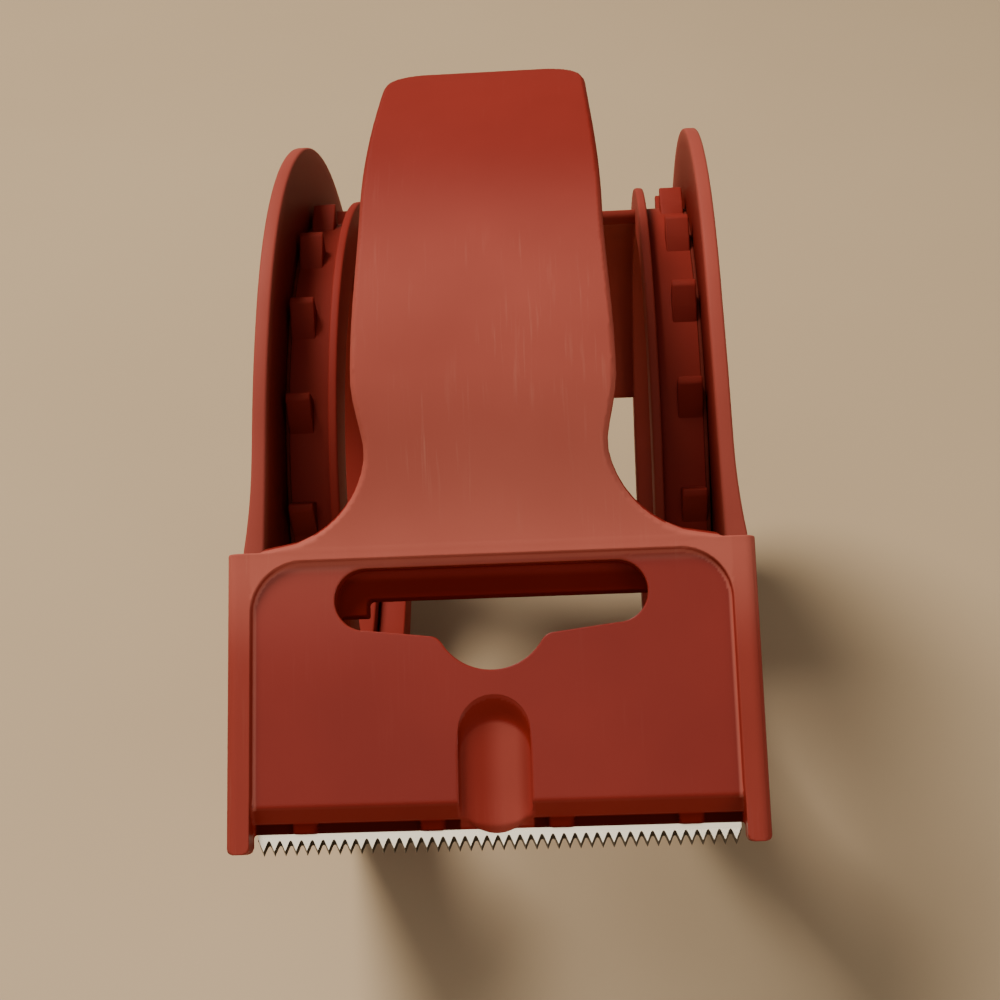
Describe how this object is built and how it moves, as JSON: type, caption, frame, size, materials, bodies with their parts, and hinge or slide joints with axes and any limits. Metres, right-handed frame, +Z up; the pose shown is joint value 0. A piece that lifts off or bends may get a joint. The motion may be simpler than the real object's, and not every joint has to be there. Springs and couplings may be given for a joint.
{
  "type": "packing tape dispenser",
  "caption": "Hand-held packing tape dispenser with a sloping front plate, a toothed cutter, a strap handle and hinged side arms whose ribbed hubs carry a roll's core.",
  "frame": {"origin": "on the table under the middle of the object's box", "axes": "+Z up, the blade towards -Y, the roll's axis along X"},
  "size_m": [0.0558, 0.1178, 0.1012],
  "materials": {
    "red_plastic": "moulded, satin, lightly scuffed",
    "blade_steel": "bright stamped strip",
    "pin_steel": "plain",
    "fibre": "plain"
  },
  "bodies": {
    "frame": {"front_frame": "red_plastic", "left_hinge_pin": "pin_steel", "right_hinge_pin": "pin_steel", "cutter_blade": "blade_steel", "blade_clamp": "red_plastic", "blade_screws": "pin_steel"},
    "left_arm": {"left_arm": "red_plastic"},
    "right_arm": {"right_arm": "red_plastic"},
    "left_hub": {"left_hub": "red_plastic", "left_lip_ring": "red_plastic", "left_retaining_ring": "red_plastic", "left_drag_washer": "fibre"},
    "right_hub": {"right_hub": "red_plastic", "core_bridge": "red_plastic", "right_retaining_ring": "red_plastic", "right_drag_washer": "fibre"}
  },
  "joints": [
    {"name": "left_arm_swing", "type": "hinge", "parent": "frame", "child": "left_arm", "pos_m": [-0.02515, -0.04362, 0.05879], "axis": [0, 0.7627, 0.6468], "range_deg": [0, 40]},
    {"name": "right_arm_swing", "type": "hinge", "parent": "frame", "child": "right_arm", "pos_m": [0.02515, -0.04362, 0.05879], "axis": [0, -0.7627, -0.6468], "range_deg": [0, 40]},
    {"name": "left_hub_spin", "type": "hinge", "parent": "left_arm", "child": "left_hub", "pos_m": [-0.022, 0.01352, 0.0454], "axis": [1, 0, 0], "continuous": true},
    {"name": "right_hub_spin", "type": "hinge", "parent": "right_arm", "child": "right_hub", "pos_m": [0.022, 0.01352, 0.0454], "axis": [1, 0, 0], "continuous": true}
  ]
}
